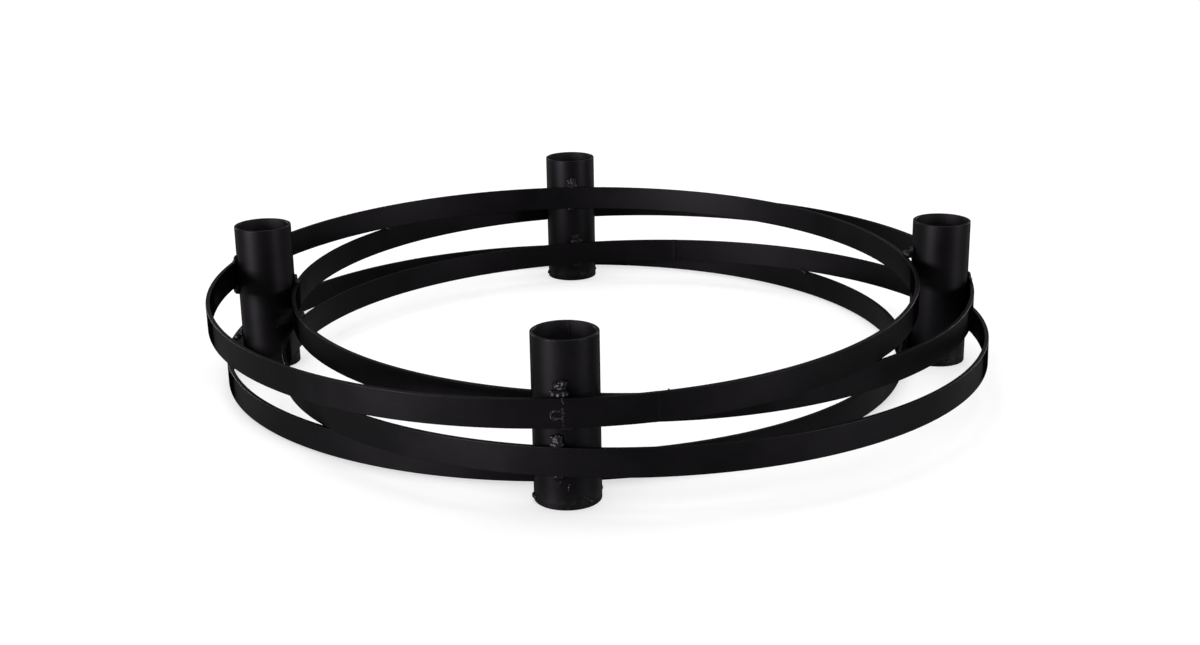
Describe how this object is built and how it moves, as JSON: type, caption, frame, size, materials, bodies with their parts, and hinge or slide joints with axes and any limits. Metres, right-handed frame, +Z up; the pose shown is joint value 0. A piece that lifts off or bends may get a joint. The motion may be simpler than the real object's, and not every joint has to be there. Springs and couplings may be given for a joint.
{
  "type": "advent candle holder",
  "caption": "Welded steel advent candle ring: four candle tubes held between four shifted flat-bar hoops, painted satin black.",
  "frame": {"origin": "centre of the ring, on the table plane under the tubes", "axes": "+Z up along the candle tubes; -Y towards the front tube; +X towards the right tube"},
  "size_m": [0.3595, 0.3597, 0.069],
  "materials": {
    "painted_steel": "satin",
    "painted_weld": "satin"
  },
  "bodies": {
    "root": {"hoop_top": "painted_steel", "hoop_upper": "painted_steel", "hoop_lower": "painted_steel", "hoop_bottom": "painted_steel", "butt_weld_top": "painted_weld", "butt_weld_upper": "painted_weld", "butt_weld_lower": "painted_weld", "butt_weld_bottom": "painted_weld", "cup_front": "painted_steel", "cup_back": "painted_steel", "cup_left": "painted_steel", "cup_right": "painted_steel", "foot_front": "painted_steel", "foot_back": "painted_steel", "foot_left": "painted_steel", "foot_right": "painted_steel", "foot_tacks_front": "painted_weld", "foot_tacks_back": "painted_weld", "foot_tacks_left": "painted_weld", "foot_tacks_right": "painted_weld", "cup_weld_front": "painted_weld", "cup_weld_back": "painted_weld", "cup_weld_left": "painted_weld", "cup_weld_right": "painted_weld", "crossing_weld_top": "painted_weld", "crossing_weld_low": "painted_weld", "crossing_weld_side": "painted_weld"}
  },
  "joints": []
}
